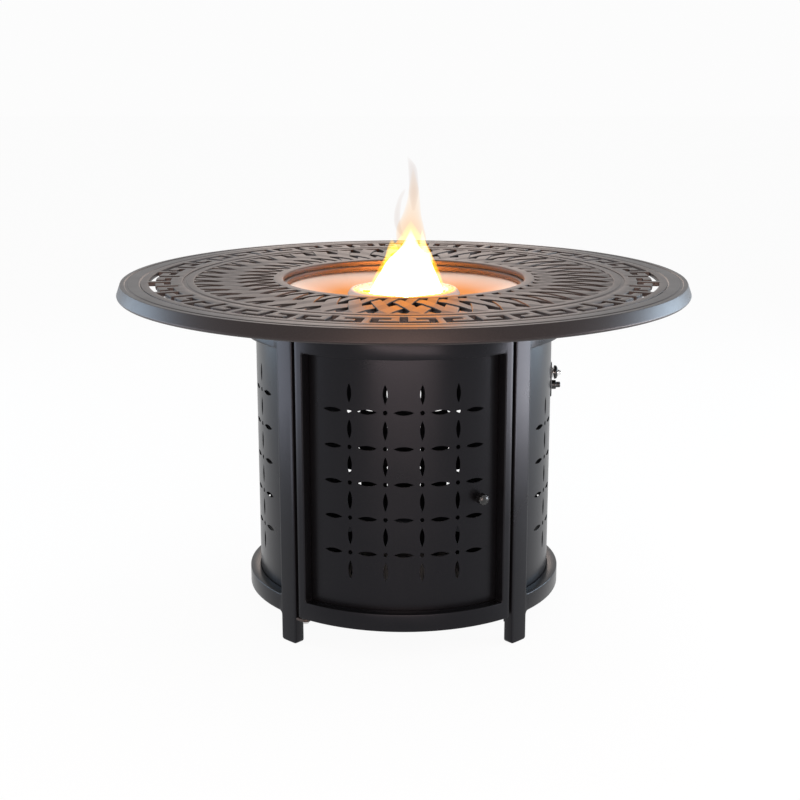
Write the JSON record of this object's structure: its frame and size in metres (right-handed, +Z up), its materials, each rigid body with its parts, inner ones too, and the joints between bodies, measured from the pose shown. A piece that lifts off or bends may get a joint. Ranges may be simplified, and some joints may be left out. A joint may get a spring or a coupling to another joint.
{
  "type": "gas fire pit table",
  "caption": "Round gas fire table: cast top with a woven lattice and fret ring around a burner bowl, on a drum of perforated panels with a hinged door, gas knob and igniter button.",
  "frame": {"origin": "on the floor, under the middle of the table top", "axes": "+Z up; the door faces -Y; the gas knob and igniter are on +X"},
  "size_m": [1.0669, 1.067, 0.646],
  "materials": {
    "cast_frame": "dark bronze powder coat, satin",
    "coated_sheet": "dark bronze powder coat, satin",
    "stainless": "polished",
    "zinc_steel": "zinc plated",
    "valve_brass": "machined",
    "chrome_trim": "bright",
    "black_knob": "satin black",
    "white_ceramic": "glazed",
    "ferrite": "matt"
  },
  "bodies": {
    "base": {"table_top": "cast_frame", "side_frame_left": "cast_frame", "side_frame_right": "cast_frame", "rear_frame": "cast_frame", "hinge_lug_lower": "cast_frame", "hinge_lug_upper": "cast_frame", "panel_left": "coated_sheet", "panel_right": "coated_sheet", "panel_rear": "coated_sheet", "deck_ring": "coated_sheet", "rear_straps": "coated_sheet", "base_plate": "coated_sheet", "tank_stops": "coated_sheet", "tray_brackets": "coated_sheet", "catch_bracket": "coated_sheet", "burner_pan": "stainless", "burner_ring": "stainless", "burner_feed": "stainless", "electrode_bracket": "stainless", "thermocouple": "stainless", "heat_shield": "zinc_steel", "shield_hangers": "zinc_steel", "burner_locknut": "zinc_steel", "valve_nut": "zinc_steel", "igniter_nut": "zinc_steel", "hinge_pin_lower": "zinc_steel", "hinge_pin_upper": "zinc_steel", "gas_valve": "valve_brass", "gas_pipe": "valve_brass", "control_bezel": "black_knob", "hinge_washers": "black_knob", "igniter_housing": "black_knob", "spark_electrode": "white_ceramic", "magnet_catch": "ferrite"},
    "door": {"door_frame": "cast_frame", "door_panel": "coated_sheet", "door_knob": "black_knob", "strike_plate": "zinc_steel"},
    "push": {"spring_seat": "zinc_steel"},
    "knob": {"control_knob": "chrome_trim", "valve_spindle": "zinc_steel"},
    "button": {"igniter_button": "black_knob"}
  },
  "joints": [
    {"name": "door_hinge", "type": "hinge", "parent": "base", "child": "door", "pos_m": [-0.17913, -0.22755, 0.3175], "axis": [0, 0, -1], "range_deg": [0, 110]},
    {"name": "knob_push", "type": "slide", "parent": "base", "child": "push", "axis": [-1, 0, 0], "range_m": [0, 0.005], "stiffness_N_per_m": 800},
    {"name": "knob_turn", "type": "hinge", "parent": "push", "child": "knob", "pos_m": [0.29, 0, 0.462], "axis": [1, 0, 0], "range_deg": [0, 180]},
    {"name": "igniter_press", "type": "slide", "parent": "base", "child": "button", "axis": [-1, 0, 0], "range_m": [0, 0.005], "stiffness_N_per_m": 600}
  ]
}
